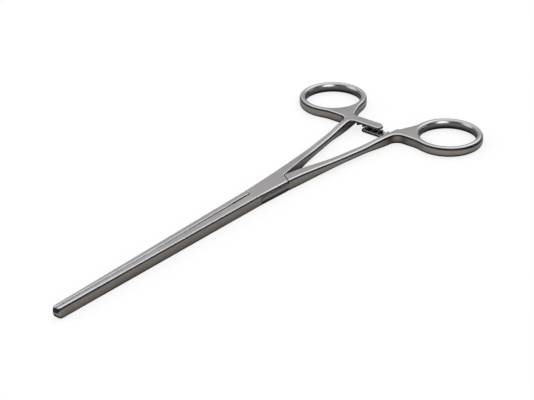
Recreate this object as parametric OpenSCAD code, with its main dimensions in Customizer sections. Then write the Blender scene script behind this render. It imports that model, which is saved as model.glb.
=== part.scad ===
// Long straight ring-handled clamp with a box lock, drawn closed on its ratchet.
// Units are millimetres. The origin is on the pivot axis, in the underside plane.
// +X runs to the jaw tips, +Y to the half whose ring is on that side, +Z is up.

/* [Overall] */
// distance from the pivot to the jaw tips
tip_x = 123; // [90:0.1:160]
// height of the lock and of the jaws, from underside to top
body_h = 5; // [3.5:0.1:7]

/* [Jaws] */
// width of one jaw's outer side from the centre plane, at its root
jaw_root_w = 3.95; // [3:0.05:6]
// the same, just behind the rounded tip
jaw_tip_w = 1.97; // [1:0.05:3]
// how fast the jaws narrow, 1 is a straight taper
jaw_taper = 1.41; // [1:0.05:2]
// gap between the jaws where the grooved faces begin
jaw_gap_root = 0.44; // [0.1:0.01:1.2]
// gap between the jaws at the tips
jaw_gap_tip = 0.06; // [0.02:0.01:0.5]
// how early the gap closes along the jaws, 1 is a straight wedge
jaw_gap_close = 3.5; // [1:0.1:6]
// where the grooved faces begin, from the pivot
groove_x = 22; // [16:0.5:40]
// number of lengthwise grooves in each gripping face
groove_n = 6; // [2:1:10]
// depth of the grooves
groove_d = 0.28; // [0.1:0.01:0.5]
// how far the parting plane lies off centre at the lock
split_off = 0.55; // [0:0.05:1]
// rounding of the jaws' outer edges
jaw_round = 0.85; // [0.3:0.05:1.5]
// length of the rounded nose above its foremost point
nose_top_l = 1.8; // [1:0.1:5]
// length of the rounded nose below its foremost point
nose_bot_l = 2.2; // [1:0.1:8]
// height of the foremost point over the mid plane
nose_z = 0.1; // [-1:0.1:1.5]

/* [Box lock] */
// half width of the lock at the pivot
lock_w = 4.54; // [4:0.05:7]
// how much wider each side gets per millimetre towards the rings
lock_flare = 0.056; // [0:0.005:0.12]
// radius about the pivot where the plate ends in front
step_front_r = 11; // [9:0.1:14]
// where the shanks part behind the pivot
crotch_x = 9.9; // [9:0.1:14]
// how far forward the plate's slanted rear edge runs up to its bend
step_rear_l = 2.3; // [1:0.1:4]
// how far from the centre plane that bend lies
step_rear_w = 3.9; // [2:0.1:5]
// gap behind the plate's rear edge, where the other shank's shoulder stands
step_gap = 0.35; // [0.1:0.01:0.6]
// thickness of each cheek of the box
cheek_t = 1.3; // [0.8:0.05:1.8]
// how far the lower cheek stands back beside the mouth of the slot
mouth_step = 0.5; // [0.1:0.05:1]
// play between the tongue and the cheeks, on each side
tongue_play = 0.05; // [0.02:0.01:0.1]
// play between the tongue's end faces and the box
tongue_gap = 0.15; // [0.05:0.01:0.3]
// radius about the pivot that the tongue's front end turns in
tongue_r = 9.6; // [8:0.1:12]
// opening angle at which the tongue meets the box's web
open_stop = 42; // [20:1:60]
// radius of the pivot pin
pin_r = 1.6; // [1:0.05:2.5]
// running play of the tongue on the pin, on the radius
pin_play = 0.03; // [0.01:0.01:0.1]

/* [Shanks] */
// half distance between the shanks' centre lines at the crotch
shank_y = 2.93; // [2:0.05:5]
// how far a shank leaves the centre plane per millimetre
shank_slope = 0.156; // [0.08:0.002:0.25]
// width of a shank at its front end
shank_w_front = 4.05; // [3:0.05:6]
// width of a shank at its rear end
shank_w_rear = 3.14; // [2.5:0.05:5]
// height of a shank at its slimmest
shank_h = 3; // [2.2:0.05:5]
// rounding of the shanks' edges
shank_round = 0.85; // [0.3:0.05:1.2]

/* [Ratchet] */
// where the arms' front edges stand behind the pivot
arm_x = 68.8; // [60:0.1:80]
// width of the arms along the instrument
arm_w = 4.8; // [4:0.1:8]
// how far each arm reaches past the centre plane
arm_reach = 4.7; // [3:0.1:8]
// thickness of an arm without its teeth
arm_t = 1.25; // [0.8:0.05:1.6]
// pitch of the teeth
tooth_pitch = 3; // [1.5:0.1:4]
// number of teeth on each arm
tooth_n = 4; // [1:1:4]
// air between the two rows of tooth tips
tooth_air = 0.1; // [0.04:0.01:0.3]

/* [Finger rings] */
// distance of each hole's centre behind the pivot
ring_x = 83.6; // [75:0.1:95]
// distance of the hole's centre from the centre plane, on the tongue half
ring_y = 30.7; // [25:0.1:36]
// the same on the plate half
plate_ring_y = 31.3; // [25:0.1:36]
// half length of the hole
ring_a = 11.9; // [10:0.1:16]
// half breadth of the hole
ring_b = 12.1; // [10:0.1:15]
// turn of the hole's long axis away from the instrument's length
ring_turn = 10; // [-90:1:90]
// width of the ring's wire, seen from above
ring_w = 3; // [2.5:0.1:5]
// height of the ring's wire
ring_h = 4.5; // [3:0.1:5.5]
// rounding of the wire's outer edges opposite the fork, where it is greatest
ring_round = 1.4; // [0.3:0.05:1.45]
// where the front edge of the fork between shank and ring stands behind the pivot
fork_x = 69.9; // [60:0.1:80]
// radius of the hollow bend from the shank's outer side into that edge
fork_round = 4; // [2:0.1:6]
// how far inside the ring's wire the line of the fork's rear edge passes
fork_rear = 1.8; // [0:0.1:4]
// slant of the fork's rear edge against the instrument's length
fork_slant = 23; // [0:1:45]

/* [Hidden] */
steel = [0.74, 0.74, 0.73];
mid_z = body_h / 2;
ring_h2 = ring_h / 2;
shank_h2 = shank_h / 2;
tongue_h2 = mid_z - cheek_t - tongue_play;
taper_x = tip_x - nose_bot_l;
cut_rear_x = crotch_x + 14;
shank_end_x = arm_x + arm_w * 0.95;
box_r = tongue_r + tongue_gap;
crotch_gap = 0.08;
round_n = 4;
fillet_r = 2.4;
relief_x = groove_x - 0.2;
relief_root = 0.2;
relief_end = 0.45;
step_play = 0.13;
bend_x = fork_x - fork_round;
fork_blend = 32;

// a blend from 0 to 1 as x goes from a to b
function ease(x, a, b) = (1 - cos(180 * max(0, min(1, (x - a) / (b - a))))) / 2;
// a hollow quarter circle that rises from 0 to r as d goes from 0 to r
function cove(d, r) = d <= 0 ? 0 : r - sqrt(max(0, r * r - pow(min(r, d), 2)));
// a round nose that falls from 1 to 0 as d goes from 0 to l
function nose(d, l) = d <= 0 ? 1 : sqrt(max(0, 1 - pow(d / l, 2)));

// outer side of the lock and of the jaws, measured from the centre plane
function jaw_side(x) = jaw_tip_w + (jaw_root_w - jaw_tip_w)
    * pow(max(0, 1 - max(0, x - step_front_r) / (taper_x - step_front_r)), jaw_taper);
function lock_side(x) = max(lock_w - lock_flare * x, x < 0 ? shank_c(-x) + shank_w(-x) / 2 : 0)
    + (jaw_root_w - lock_w + lock_flare * step_front_r) * ease(x, 0, step_front_r);
function body_side(x) = x > step_front_r ? jaw_side(x) : lock_side(x);

// the parting plane between the jaws and the gap there
function parting(x) = -split_off * (1 - ease(x, groove_x, tip_x * 0.65));
function jaw_gap(x) = jaw_gap_tip
    + (jaw_gap_root - jaw_gap_tip) * pow(max(0, 1 - (x - groove_x) / (tip_x - groove_x)), jaw_gap_close);

// a shank's centre line, width, half height and inner edge; b counts backwards from the pivot
function shank_c(b) = shank_y + shank_slope * (b - 12);
function shank_w(b) = lookup(b, [[crotch_x, 2 * (shank_c(crotch_x) - crotch_gap)], [20, shank_w_front],
    [56, shank_w_rear], [90, shank_w_rear]]);
function shank_in(b) = shank_c(b) - shank_w(b) / 2;
function shank_half_h(b) = mid_z + (shank_h2 - mid_z) * ease(b, 9, 43)
    + (ring_h2 - shank_h2) * ease(b, 50, bend_x);

// closed cross-section: u runs across, v up, r0 and r1 round its two sides, d is the groove depth
function corner(u, v, r, a) = [for (k = [0:round_n])
    [u + r * cos(a + 90 * k / round_n), v + r * sin(a + 90 * k / round_n)]];
function grooves(u, v0, v1, d) = [for (k = [1:2 * groove_n - 1])
    [u + (k % 2) * d, v1 + (v0 - v1) * k / (2 * groove_n)]];
function section(u0, u1, v0, v1, r0, r1, d) = concat(
    corner(u1 - r1, v0 + r1, r1, -90),
    corner(u1 - r1, v1 - r1, r1, 0),
    corner(u0 + r0, v1 - r0, r0, 90),
    grooves(u0, v0 + r0, v1 - r0, d),
    corner(u0 + r0, v0 + r0, r0, 180));

// joins a row of cross-sections into one closed solid
module loft(secs) {
    n = len(secs[0]);
    m = len(secs);
    polyhedron(
        points = [for (s = secs) for (p = s) p],
        faces = concat(
            [[for (k = [0:n - 1]) k]],
            [[for (k = [n - 1:-1:0]) (m - 1) * n + k]],
            [for (i = [0:m - 2]) for (k = [0:n - 1]) let (q = (k + 1) % n)
                [i * n + k, (i + 1) * n + k, (i + 1) * n + q, i * n + q]]),
        convexity = 8);
}

// cross-sections of the long body; s is 1 for the plate half and -1 for the tongue half
function shank_section(b) = let (c = shank_c(b), w = shank_w(b) / 2, h = shank_half_h(b),
    r = min(shank_round, h * 0.7, w * 0.7),
    ri = 0.15 + (r - 0.15) * ease(b, cut_rear_x, cut_rear_x + 9))
    section(-c - w, w - c, -h, h, r, ri, 0);
function lock_section(x) = let (h = shank_half_h(-x)) section(-body_side(x), body_side(x), -h, h, 0.8, 0.8, 0);
function jaw_section(x, s) = let (
    top = nose_z + (mid_z - nose_z) * nose(x - tip_x + nose_top_l, nose_top_l),
    bot = nose_z - (mid_z + nose_z) * nose(x - taper_x, nose_bot_l),
    u0 = s * parting(x) + jaw_gap(x) / 2,
    side = jaw_side(x) * (0.4 + 0.6 * nose(x - taper_x, nose_bot_l)),
    r1 = min(jaw_round, (side - u0) * 0.7, (top - bot) * 0.3),
    r0 = min(0.2, (top - bot) * 0.15),
    d = groove_d * ease(x, groove_x, groove_x + 1.5) * (1 - ease(x, taper_x - 1, taper_x + 1)))
    section(u0, side, bot, top, r0, r1, min(d, (side - u0) * 0.4));
function at_x(x, pts) = [for (p = pts) [x, p[0], p[1]]];

shank_xs = concat([-shank_end_x], [for (k = [0:16]) (bend_x - cut_rear_x) * k / 16 - bend_x]);
lock_xs = concat([for (k = [1:6]) (cut_rear_x - crotch_x) * k / 6 - cut_rear_x],
    [-7, -5, -2, 2, 5, 8, 11, 14, groove_x - 3]);
jaw_xs = concat([groove_x, groove_x + 0.75, groove_x + 1.5],
    [for (k = [1:14]) groove_x + 1.5 + (taper_x - 2.5 - groove_x) * k / 14],
    [for (k = [0:11]) taper_x + (nose_bot_l - 0.02) * sin(90 * k / 11)]);

// one half from the fork at its ring to the jaw tip, before the lock is cut
module long_body(s) {
    loft(concat(
        [for (x = shank_xs) at_x(x, shank_section(-x))],
        [for (x = lock_xs) at_x(x, lock_section(x))],
        [for (x = jaw_xs) at_x(x, jaw_section(x, s))]));
}

// finger ring: t goes round the hole, 0 points to the jaws and -90 to the other half;
// out moves the hole outwards while the fork's two lines stay where they are
function hole_r(t) = ring_a * ring_b
    / sqrt(pow(ring_b * cos(t - ring_turn), 2) + pow(ring_a * sin(t - ring_turn), 2));
function wire_r(t) = hole_r(t) + ring_w;
// the fork fills the corner between the ring and the shank up to a front and a rear line
function line_r(t, d, a) = d / max(0.1, cos(t - a));
function fork_r(t, out) = min(line_r(t, ring_x - fork_x, 0),
    line_r(t, ring_b + ring_w - fork_rear + out * cos(fork_slant), -90 - fork_slant));
function outer_r(t, out) = t < -90 - fork_slant || t > 0 ? wire_r(t)
    : pow(pow(wire_r(t), fork_blend) + pow(fork_r(t, out), fork_blend), 1 / fork_blend);
function outer_round(t) = shank_round + (ring_round - shank_round) * (1 - cos(t + 45)) / 2;
function ring_section(t, out) = let (r = outer_round(t), u0 = hole_r(t), u1 = outer_r(t, out) - r, v = ring_h2 - r)
    concat(corner(u1, -v, r, -90), corner(u1, v, r, 0),
    [for (k = [0:14]) let (s = sin(180 * k / 14), c = cos(180 * k / 14))
        [u0 + (1 - pow(s, 0.9)) * ring_w / 2, ring_h2 * sign(c) * pow(abs(c), 0.9)]]);
module finger_ring(out) {
    n = 80;
    m = len(ring_section(0, out));
    polyhedron(
        points = [for (i = [0:n - 1]) let (t = 360 * i / n - 180) for (p = ring_section(t, out))
            [p[0] * cos(t) - ring_x, -ring_y - out - p[0] * sin(t), p[1]]],
        faces = [for (i = [0:n - 1]) for (k = [0:m - 1]) let (j = (i + 1) % n, q = (k + 1) % m)
            [i * m + k, j * m + k, j * m + q, i * m + q]],
        convexity = 8);
}

// hollow bend that carries the shank's outer side into the fork's front edge
bend_y = shank_c(bend_x) + shank_w(bend_x) / 2 + fork_round * sqrt(1 + shank_slope * shank_slope);
module fork_bend() {
    depth = shank_w(bend_x) * 0.9;
    pts = section(fork_round, fork_round + depth, -ring_h2, ring_h2, shank_round, 0.15, 0);
    loft([for (k = [0:9]) let (a = 180 - (90 - atan(shank_slope)) * k / 9)
        [for (p = pts) [p[0] * cos(a) - bend_x, p[0] * sin(a) - bend_y, p[1]]]]);
}

// ratchet arm: from the fork across the centre plane, its teeth towards the mid plane
arm_root_y = shank_in(arm_x - fillet_r) + shank_round / 2;
function arm_front(y) = y < -arm_root_y - 2 ? -arm_x - 2
    : cove(-y - arm_root_y + fillet_r, fillet_r) - arm_x - 0.6 * max(0, y - arm_reach + 0.9);
function arm_rear(y) = 0.85 * max(0, y - arm_reach + 1.6) - 0.35 * max(0, -y - arm_root_y - 1)
    - arm_x - arm_w;
function arm_section(y) = [for (p = section(arm_rear(y), arm_front(y), ring_h2 - arm_t, ring_h2, 0.45, 0.5, 0))
    [p[0], y, p[1]]];
module ratchet_arm() {
    ys = concat([arm_reach, arm_reach - 0.9, arm_reach - 1.6, 0, -4],
        [for (k = [0:6]) fillet_r * (1 - k / 6) - arm_root_y],
        [-arm_root_y - 1.9, -arm_root_y - 2.1, -arm_root_y - 6]);
    loft([for (y = ys) arm_section(y)]);
    for (k = [0:tooth_n - 1]) tooth(arm_reach - 0.5 - tooth_pitch * (0.8 + k));
}

// one saw tooth that leans towards the arm's own root
module tooth(y) {
    top = ring_h2 - arm_t;
    tip = tooth_air / 2;
    translate([0.8 - arm_x - arm_w, 0, 0]) rotate([90, 0, 90])
        linear_extrude(height = arm_w - 1.3)
            polygon([[y, top + 0.3], [y, top], [y - tooth_pitch * 0.12, tip], [y + tooth_pitch * 0.04, tip],
                [y + tooth_pitch * 0.8, top], [y + tooth_pitch * 0.8, top + 0.3]]);
}

// plan of the lock: the crotch, and the bends of the plate's rear edge
crotch = [-crotch_x, -crotch_gap];
rear_bend = [step_rear_l - crotch_x, step_rear_w];
rear_side = [step_rear_l + 1.1 - crotch_x, lock_w + 0.5];
flank_end = [-0.5, -lock_side(0)];

// what the plate half loses behind its rear edge and beside its jaw
module plate_ends() {
    polygon([crotch, rear_bend, rear_side, [rear_side[0], 12], [-cut_rear_x - 1, 12],
        [-cut_rear_x - 1, 0.03 - shank_in(cut_rear_x + 1)]]);
    difference() {
        polygon([[3, relief_root - split_off], [relief_x, relief_end - split_off], [relief_x, -12], [3, -12]]);
        circle(r = step_front_r, $fn = 96);
    }
}

// the web that joins the cheeks; when fully open the tongue meets its front face
module web_plan() {
    d = lock_side(0) + 0.03;
    intersection() {
        polygon([[crotch[0] - 4, crotch[1]], crotch, 2 * flank_end - crotch, [2 * flank_end[0] - crotch[0], -20],
            [crotch[0] - 4, -20]]);
        translate([-d * sin(open_stop), -d * cos(open_stop)])
            rotate(-90 - open_stop) translate([0, -25]) square([30, 50]);
    }
}

// the slot through the box that the tongue turns in
module slot_plan() {
    difference() {
        union() {
            circle(r = box_r, $fn = 96);
            polygon([[3, relief_root - split_off], [14, relief_root - split_off], [14, -12], [3, -12]]);
            polygon([[-3, crotch[1]], [crotch[0] - 1, crotch[1]], [crotch[0] - 1, 12], [-3, 12]]);
        }
        web_plan();
    }
}

// what the tongue half loses through its whole height: before the web, and beside its jaw
module tongue_ends() {
    g = 2 * crotch_gap;
    polygon([[-cut_rear_x - 1, shank_in(cut_rear_x + 1) - 0.03], [-crotch_x, crotch_gap],
        2 * flank_end - crotch + [g, g], [2 * flank_end[0] - crotch[0] + g, -20], [-cut_rear_x - 1, -20]]);
    difference() {
        polygon([[3, -relief_root - split_off], [relief_x, -relief_end - split_off], [relief_x, 12], [3, 12]]);
        circle(r = tongue_r, $fn = 96);
    }
}

// where the cheeks lie over the tongue
module cheek_plan() {
    polygon([[crotch[0] - step_gap, -12], crotch - [step_gap, 0], rear_bend - [step_gap, 0],
        rear_side - [step_gap, 0], [rear_side[0] - step_gap, 12], [0.1, 12], [0.1, -12]]);
    intersection() {
        circle(r = step_front_r + step_play, $fn = 96);
        translate([0, -12]) square([14, 24]);
    }
}

// step under the mouth of the slot
module mouth_cut() {
    side = lock_side(0) + 0.1;
    rotate(-atan(lock_flare)) translate([box_r * 0.9, 0, 0]) rotate([90, 0, -90])
        linear_extrude(height = box_r * 0.9 + crotch_x)
            polygon([[-side, -mid_z - 0.1], [mouth_step - side, -mid_z - 0.1], [mouth_step - side, cheek_t - mid_z],
                [-side, cheek_t - mid_z]]);
}

// half with the box plate, its ring on the -Y side
module female_half() {
    color(steel) translate([0, 0, mid_z]) difference() {
        union() {
            long_body(1);
            finger_ring(plate_ring_y - ring_y);
            fork_bend();
            ratchet_arm();
        }
        mouth_cut();
        translate([0, 0, -body_h]) linear_extrude(height = 2 * body_h) plate_ends();
        translate([0, 0, cheek_t - mid_z]) linear_extrude(height = body_h - 2 * cheek_t) slot_plan();
        translate([0, 0, -body_h]) cylinder(r = pin_r, h = 2 * body_h, $fn = 64);
    }
}

// half with the tongue through the box, its ring on the +Y side
module male_half() {
    color(steel) translate([0, 0, mid_z]) difference() {
        mirror([0, 1, 0]) union() {
            long_body(-1);
            finger_ring(0);
            fork_bend();
            mirror([0, 0, 1]) ratchet_arm();
        }
        translate([0, 0, -body_h]) linear_extrude(height = 2 * body_h) tongue_ends();
        for (m = [0, 1]) mirror([0, 0, m])
            translate([0, 0, tongue_h2]) linear_extrude(height = body_h) cheek_plan();
        translate([0, 0, -body_h]) cylinder(r = pin_r + pin_play, h = 2 * body_h, $fn = 64);
    }
}

// pin through both cheeks, riveted and ground flush with them
module pivot_pin() {
    color(steel) cylinder(r = pin_r, h = body_h, $fn = 64);
}

female_half();
male_half();
pivot_pin();
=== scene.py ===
"""Looks of the ring-handled clamp: satin steel and polished rings with light and shade painted into their
colour, studio light and the photograph's view.
"""
import math

import bmesh
import bpy
from mathutils import Matrix, Vector


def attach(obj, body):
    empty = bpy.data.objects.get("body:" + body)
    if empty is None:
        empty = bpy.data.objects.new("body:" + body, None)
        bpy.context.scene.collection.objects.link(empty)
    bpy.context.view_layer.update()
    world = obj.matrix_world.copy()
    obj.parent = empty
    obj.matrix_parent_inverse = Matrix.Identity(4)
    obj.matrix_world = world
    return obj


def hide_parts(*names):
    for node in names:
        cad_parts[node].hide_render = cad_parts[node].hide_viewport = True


MM = 0.001

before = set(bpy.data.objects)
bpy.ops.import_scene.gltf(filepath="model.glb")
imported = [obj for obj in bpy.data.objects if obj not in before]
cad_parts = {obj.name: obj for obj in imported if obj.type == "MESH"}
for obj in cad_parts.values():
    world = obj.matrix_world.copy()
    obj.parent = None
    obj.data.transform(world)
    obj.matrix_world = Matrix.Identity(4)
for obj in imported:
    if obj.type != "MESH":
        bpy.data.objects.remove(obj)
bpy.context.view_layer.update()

# The photograph's view. The camera looks at a point of the instrument's mid-plane.
FOCAL_PX = 1939.5
IMAGE_W = 534
AZIMUTH = 39.879
ELEVATION = 28.187
DISTANCE = 782.77 * MM
AIM = Vector((7.69, 5.495, 2.5)) * MM
ROLL = -1.019
SENSOR = 36.0

# The middle of each finger ring's hole, and the radius up to which the wire is polished and gets the rings'
# painted light and shade.
PLATE_RING = Vector((-83.6, -31.3, 0)) * MM
TONGUE_RING = Vector((-83.6, 30.7, 0)) * MM
POLISHED_R = 13.4 * MM

# The pin is ground flush, so no edge is eased within this radius of it.
FLUSH_R = 2.6 * MM

# How far the painted shade in gaps reaches, how far walls that face each other get painted shade,
# and how wide the ground edges look.
CREVICE = 1.6 * MM
FACING = 14.0 * MM
SOFT_EDGE = 1.0 * MM

# The real bevel of the edges, the least angle of an edge that gets one, the greatest angle that is
# shaded smooth, and the angle below which neighbouring facets are joined.
BEVEL = 0.07 * MM
BEVEL_ANGLE = math.radians(38)
SMOOTH_ANGLE = math.radians(50)
FLAT_ANGLE = math.radians(0.5)

# Steel colour with light and shade painted in by the height of the surface's normal, from -1 facing down
# over 0, a wall, to 1 facing up: walls painted darker and browner as a dark reflection, a painted dark band
# under each rounded edge and on undersides, a painted highlight on the rounded edge, and the lighter tone
# of the flats.
SIDE_PAINTED_SHADE = (0.255, 0.230, 0.205)
PAINTED_DARK = (0.024, 0.025, 0.031)
PAINTED_HIGHLIGHT = (0.82, 0.84, 0.88)
TOP = (0.62, 0.595, 0.585)
# The rings' wire gets its own painted light and shade: dark painted walls, then a painted sheen and a
# painted highlight rising over the shoulder to the crest.
RING_WALL_SHADE = (0.115, 0.102, 0.093)
RING_UPPER_WALL_SHADE = (0.13, 0.117, 0.108)
RING_TURN_SHEEN = (0.22, 0.21, 0.205)
RING_SHOULDER_SHEEN = (0.44, 0.44, 0.45)
RING_CREST_HIGHLIGHT = (0.60, 0.61, 0.64)
BODY_PAINTED_LIGHT = [(-0.98, TOP), (-0.90, PAINTED_DARK), (-0.28, PAINTED_DARK), (-0.04, SIDE_PAINTED_SHADE), (0.02, SIDE_PAINTED_SHADE), (0.11, PAINTED_DARK),
              (0.64, PAINTED_DARK), (0.82, PAINTED_HIGHLIGHT), (0.985, PAINTED_HIGHLIGHT), (0.999, TOP)]
RING_PAINTED_LIGHT = [(-0.98, TOP), (-0.90, PAINTED_DARK), (-0.50, PAINTED_DARK), (-0.06, RING_WALL_SHADE),
              (0.04, RING_UPPER_WALL_SHADE), (0.13, RING_TURN_SHEEN), (0.24, RING_SHOULDER_SHEEN), (0.80, RING_CREST_HIGHLIGHT),
              (0.985, PAINTED_HIGHLIGHT), (0.999, TOP)]

# Each AO map as lowest and highest openness, and the painted shade at both: in gaps, between facing walls,
# and on the floor in reflections.
NEAR_SHADE = (0.4, 0.85, 0.06, 1.0)
WIDE_SHADE = (0.24, 0.47, 0.1, 1.0)
FLOOR_SHADE = (0.97, 0.65, 0.0, 0.95)

# Noise runs from 0.3 to 0.7. It mottles the tone in clouds and in fine grain.
NOISE = (0.3, 0.7)
MOTTLE = (0.93, 1.05)
GRAIN = (0.95, 1.05)
CLOUD_SCALE = 120.0
GRAIN_SCALE = (2600, 2600, 160)
GRAIN_DEPTH = 0.00003

# The floor: its plain grey for other light, the grey that keeps the shadow, its own glow and half its size.
FLOOR_GREY = (0.85, 0.85, 0.85, 1)
SHADOW_GREY = (0.3, 0.3, 0.3, 1)
FLOOR_GLOW = 0.78
FLOOR_HALF = 4.0
FLOOR_DROP = -0.05 * MM

# The least world light in any direction.
LEAST_LIGHT = 0.03

# World light: elevation in degrees and brightness, then soft patches as
# azimuth, elevation, inner radius, outer radius, strength.
SKY = [(-90, 0.9), (5, 0.9), (9, 0.25), (18, 0.25), (28, 0.62), (40, 0.75), (60, 1.0), (90, 1.05)]
PATCHES = [
    (170, 45, 10, 28, 0.6),
    (-50, 20, 10, 30, 1.1),
    (56, 20, 12, 28, 2.3),
    (6, 34, 10, 30, -0.45),
    (105, 30, 10, 30, -0.35),
    (220, 28, 15, 35, 0.12),
]


def make_camera():
    """The camera of the photograph's view."""
    data = bpy.data.cameras.new("camera")
    data.sensor_width = SENSOR
    data.lens = FOCAL_PX * SENSOR / IMAGE_W
    data.clip_start = 0.01
    data.clip_end = 20
    cam = bpy.data.objects.new("camera", data)
    bpy.context.scene.collection.objects.link(cam)
    az, el, roll = (math.radians(v) for v in (AZIMUTH, ELEVATION, ROLL))
    back = Vector((math.cos(el) * math.cos(az), math.cos(el) * math.sin(az), math.sin(el)))
    right = Vector((-math.sin(az), math.cos(az), 0))
    up = back.cross(right)
    right, up = (right * math.cos(roll) + up * math.sin(roll),
                 up * math.cos(roll) - right * math.sin(roll))
    turn = Matrix((right, up, back)).transposed().to_4x4()
    cam.matrix_world = Matrix.Translation(AIM + DISTANCE * back) @ turn
    bpy.context.scene.camera = cam


class Tree:
    """Short names for building a node tree."""

    def __init__(self, owner):
        owner.use_nodes = True
        self.nodes = owner.node_tree.nodes
        self.links = owner.node_tree.links
        self.nodes.clear()

    def add(self, kind, inputs=None, **settings):
        node = self.nodes.new("ShaderNode" + kind)
        for key, value in settings.items():
            setattr(node, key, value)
        for key, value in (inputs or {}).items():
            if isinstance(value, bpy.types.NodeSocket):
                self.links.new(value, node.inputs[key])
            else:
                node.inputs[key].default_value = value
        return node

    def math(self, operation, a, b=0.0, c=0.0):
        return self.add("Math", {0: a, 1: b, 2: c}, operation=operation).outputs[0]

    def map(self, value, span):
        """span is (from low, from high, to low, to high)"""
        low, high, to_low, to_high = span
        node = self.add("MapRange", {"Value": value, 1: low, 2: high, 3: to_low, 4: to_high})
        return node.outputs[0]

    def ramp(self, value, stops):
        """stops are (value from -1 to 1, grey or colour), blended in a straight line.

        Moving an element can change the elements' order, so all are placed before any is coloured.
        """
        node = self.add("ValToRGB", {0: self.math("MULTIPLY_ADD", value, 0.5, 0.5)})
        elements = node.color_ramp.elements
        while len(elements) < len(stops):
            elements.new(0.5)
        for element, (place, _) in zip(elements, stops):
            element.position = 0.5 + place / 2
        for element, (_, colour) in zip(elements, stops):
            rgb = colour if isinstance(colour, tuple) else (colour,) * 3
            element.color = (*rgb, 1)
        return node.outputs[0]


def steel(name, rough_low, rough_high, painted_light, bump_strength):
    """Stainless steel with light and shade painted into its colour from walls to rounded edges to flats,
    and painted shade in gaps; its roughness, grain and mottle are its own.
    """
    mat = bpy.data.materials.new(name)
    tree = Tree(mat)
    bsdf = tree.add("BsdfPrincipled", {"Metallic": 1.0})
    tree.add("OutputMaterial", {"Surface": bsdf.outputs[0]})
    coord = tree.add("TexCoord")
    place = coord.outputs["Object"]
    flat = tree.add("NewGeometry").outputs["Normal"]
    rounded = tree.add("Bevel", {"Radius": SOFT_EDGE}, samples=8).outputs[0]
    from_pin = tree.add("VectorMath", {0: place, 1: (1, 1, 0)}, operation="MULTIPLY").outputs[0]
    from_pin = tree.add("VectorMath", {0: from_pin}, operation="LENGTH").outputs["Value"]
    away = tree.math("GREATER_THAN", from_pin, FLUSH_R)
    change = tree.add("VectorMath", {0: rounded, 1: flat}, operation="SUBTRACT").outputs[0]
    eased = tree.add("VectorMath", {0: change, 1: away, 2: flat}, operation="MULTIPLY_ADD").outputs[0]
    up = tree.add("SeparateXYZ", {0: eased}).outputs[2]
    cloud = tree.add("TexNoise", {"Vector": place, "Scale": CLOUD_SCALE, "Detail": 4.0}).outputs[0]
    stretch = tree.add("Mapping", {"Vector": place, "Scale": GRAIN_SCALE})
    grain = tree.add("TexNoise", {"Vector": stretch.outputs[0], "Scale": 1.0, "Detail": 2.0}).outputs[0]
    # Light and shade painted into the colour by the height of the eased normal.
    painted_tone = tree.ramp(up, painted_light)
    mottle = tree.map(cloud, (*NOISE, *MOTTLE))
    fine = tree.map(grain, (*NOISE, *GRAIN))
    # Shade painted into the colour where ambient occlusion finds gaps and walls that face each other.
    near = tree.add("AmbientOcclusion", {"Distance": CREVICE}, samples=8).outputs["AO"]
    wide = tree.add("AmbientOcclusion", {"Distance": FACING}, samples=8).outputs["AO"]
    painted_crevice_shade = tree.math("MULTIPLY", tree.map(near, NEAR_SHADE), tree.map(wide, WIDE_SHADE))
    shade = tree.math("MULTIPLY", tree.math("MULTIPLY", mottle, fine), painted_crevice_shade)
    mixed = tree.add("VectorMath", {0: painted_tone, 1: shade}, operation="MULTIPLY")
    tree.links.new(mixed.outputs[0], bsdf.inputs["Base Color"])
    tree.links.new(tree.map(cloud, (*NOISE, rough_low, rough_high)), bsdf.inputs["Roughness"])
    bump = tree.add("Bump", {"Height": grain, "Strength": bump_strength, "Distance": GRAIN_DEPTH,
                             "Normal": eased})
    tree.links.new(bump.outputs[0], bsdf.inputs["Normal"])
    return mat


def make_floor():
    """White to the camera, with a faint shadow kept, and to reflections, with a deeper shadow painted from
    ambient occlusion.
    """
    mat = bpy.data.materials.new("floor_white")
    tree = Tree(mat)
    path = tree.add("LightPath")
    seen = tree.math("MAXIMUM", path.outputs["Is Camera Ray"], path.outputs["Is Glossy Ray"])
    seen = tree.math("MAXIMUM", seen, path.outputs["Is Transmission Ray"])
    plain = tree.add("BsdfDiffuse", {"Color": FLOOR_GREY})
    faint = tree.add("BsdfDiffuse", {"Color": SHADOW_GREY})
    # A shadow painted on the floor's glow, seen only in reflections, where ambient occlusion finds the
    # instrument near.
    open_sky = tree.add("AmbientOcclusion", {"Distance": FACING}, samples=4).outputs["AO"]
    shadow = tree.math("MULTIPLY", tree.map(open_sky, FLOOR_SHADE), path.outputs["Is Glossy Ray"])
    strength = tree.math("MULTIPLY_ADD", shadow, -FLOOR_GLOW, FLOOR_GLOW)
    glow = tree.add("Emission", {"Color": (1, 1, 1, 1), "Strength": strength})
    white = tree.add("AddShader", {0: faint.outputs[0], 1: glow.outputs[0]})
    mix = tree.add("MixShader", {0: seen, 1: plain.outputs[0], 2: white.outputs[0]})
    tree.add("OutputMaterial", {"Surface": mix.outputs[0]})
    mesh = bpy.data.meshes.new("floor")
    s = FLOOR_HALF
    mesh.from_pydata([(-s, -s, 0), (s, -s, 0), (s, s, 0), (-s, s, 0)], [], [(0, 1, 2, 3)])
    mesh.materials.append(mat)
    floor = bpy.data.objects.new("floor", mesh)
    floor.location = (0, 0, FLOOR_DROP)
    bpy.context.scene.collection.objects.link(floor)


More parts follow.
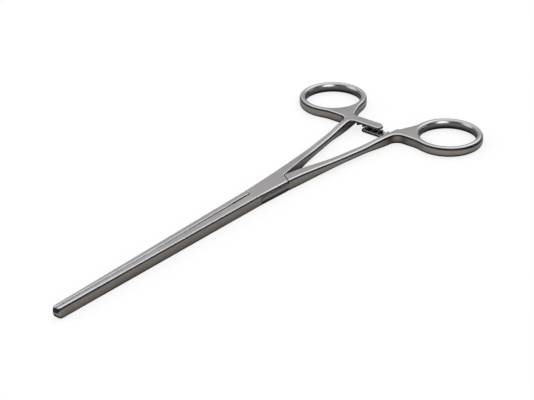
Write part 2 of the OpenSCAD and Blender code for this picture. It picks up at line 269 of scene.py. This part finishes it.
def make_world():
    """Light by elevation, with soft patches added or taken away."""
    world = bpy.data.worlds.new("studio")
    bpy.context.scene.world = world
    tree = Tree(world)
    ray = tree.add("TexCoord").outputs["Generated"]
    height = tree.add("SeparateXYZ", {0: ray}).outputs[2]
    sky = tree.ramp(height, [(math.sin(math.radians(el)), v) for el, v in SKY])
    total = tree.add("SeparateColor", {0: sky}).outputs[0]
    for az, el, inner, outer, strength in PATCHES:
        az, el = math.radians(az), math.radians(el)
        way = (math.cos(el) * math.cos(az), math.cos(el) * math.sin(az), math.sin(el))
        dot = tree.add("VectorMath", {0: ray, 1: way}, operation="DOT_PRODUCT").outputs["Value"]
        spot = tree.add("MapRange", {"Value": dot, 1: math.cos(math.radians(outer)),
                                     2: math.cos(math.radians(inner)), 3: 0.0, 4: 1.0},
                        interpolation_type="SMOOTHSTEP").outputs[0]
        total = tree.math("MULTIPLY_ADD", spot, strength, total)
    total = tree.math("MAXIMUM", total, LEAST_LIGHT)
    back = tree.add("Background", {"Strength": total})
    tree.add("OutputWorld", {"Surface": back.outputs[0]})


def dressed(node, body, steel_looks, ring=None):
    """A clean, welded copy of a CAD node with eased edges and smooth shading, in its place."""
    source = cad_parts[node].data
    bm = bmesh.new()
    lookup = [bm.verts.new(v.co) for v in source.vertices]
    for poly in source.polygons:
        bm.faces.new([lookup[i] for i in poly.vertices])
    bmesh.ops.remove_doubles(bm, verts=bm.verts, dist=1e-7)
    bmesh.ops.dissolve_degenerate(bm, dist=1e-6, edges=bm.edges)
    bmesh.ops.dissolve_limit(bm, angle_limit=FLAT_ANGLE, verts=bm.verts, edges=bm.edges)
    sharp = [e for e in bm.edges if e.is_manifold and e.calc_face_angle(0) > BEVEL_ANGLE
             and max(math.hypot(v.co.x, v.co.y) for v in e.verts) > FLUSH_R]
    bmesh.ops.bevel(bm, geom=sharp, offset=BEVEL, offset_type="OFFSET", segments=2, profile=0.5,
                    affect="EDGES", clamp_overlap=True)
    for face in bm.faces:
        face.smooth = True
        if ring:
            face.material_index = 1 if (face.calc_center_median() - ring).xy.length < POLISHED_R else 0
    for edge in bm.edges:
        if edge.is_manifold:
            edge.smooth = edge.calc_face_angle(0) < SMOOTH_ANGLE
    mesh = bpy.data.meshes.new(node + "_steel")
    bm.to_mesh(mesh)
    bm.free()
    for finish in steel_looks:
        mesh.materials.append(finish)
    obj = bpy.data.objects.new(node + "_steel", mesh)
    bpy.context.scene.collection.objects.link(obj)
    weighted = obj.modifiers.new("even_flats", "WEIGHTED_NORMAL")
    weighted.keep_sharp = True
    weighted.weight = 60
    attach(obj, body)
    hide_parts(node)
    return obj


make_camera()
make_world()
make_floor()

satin = steel("satin_steel", 0.26, 0.34, BODY_PAINTED_LIGHT, 0.25)
polished = steel("polished_steel", 0.12, 0.17, RING_PAINTED_LIGHT, 0.05)
dressed("female_half", "plate_half", [satin, polished], PLATE_RING)
dressed("male_half", "tongue_half", [satin, polished], TONGUE_RING)
dressed("pivot_pin", "plate_half", [satin])

bpy.context.scene.view_settings.view_transform = "Standard"
